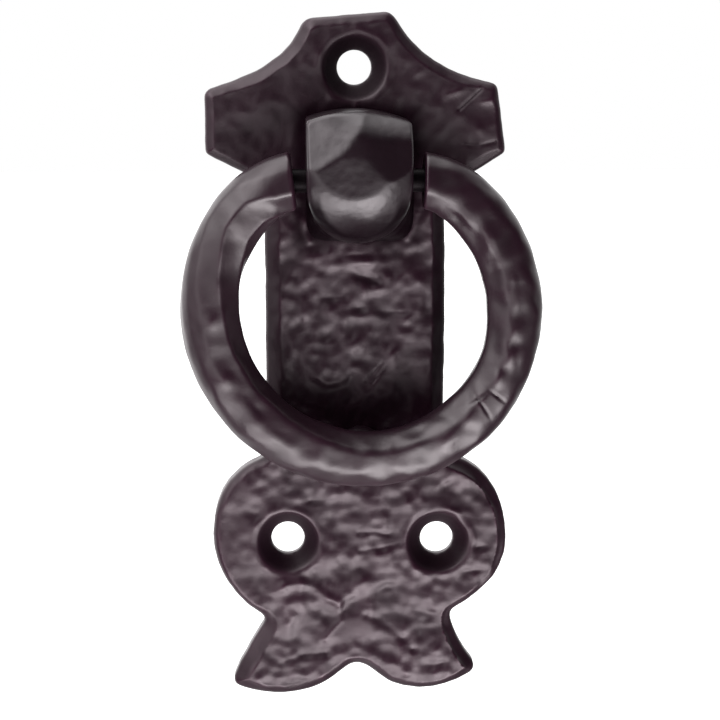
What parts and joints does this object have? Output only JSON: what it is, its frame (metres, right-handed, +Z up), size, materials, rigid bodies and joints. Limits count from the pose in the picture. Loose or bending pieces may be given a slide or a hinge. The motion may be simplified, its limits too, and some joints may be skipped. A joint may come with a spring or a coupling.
{
  "type": "ring door knocker",
  "caption": "Hammered iron ring knocker: a swinging ring on a square hinge lug, on a tall shaped backplate with fishtail foot and screw holes",
  "frame": {"origin": "on the backplate's flat back face, on the centre line of its shaft, 31 mm below the ring's pivot", "axes": "+X to the viewer's right, +Y into the door, +Z up the door; the ring is in front, towards -Y"},
  "size_m": [0.0622, 0.0215, 0.123],
  "materials": {
    "hammered_iron": "antique black, hammered texture, satin",
    "lug_iron": "antique black, smoothly dressed, satin",
    "ring_iron": "antique black, hand-forged look, satin",
    "pin_steel": "steel, blackened with the castings"
  },
  "bodies": {
    "plate": {"backplate": "hammered_iron", "hinge_lug": "lug_iron", "pivot_pin": "pin_steel", "strike_stud": "lug_iron"},
    "ring": {"knocker_ring": "ring_iron"}
  },
  "joints": [
    {"name": "ring_swing", "type": "hinge", "parent": "plate", "child": "ring", "pos_m": [0.001, -0.013, 0.031], "axis": [-1, 0, 0], "range_deg": [0, 190]}
  ]
}
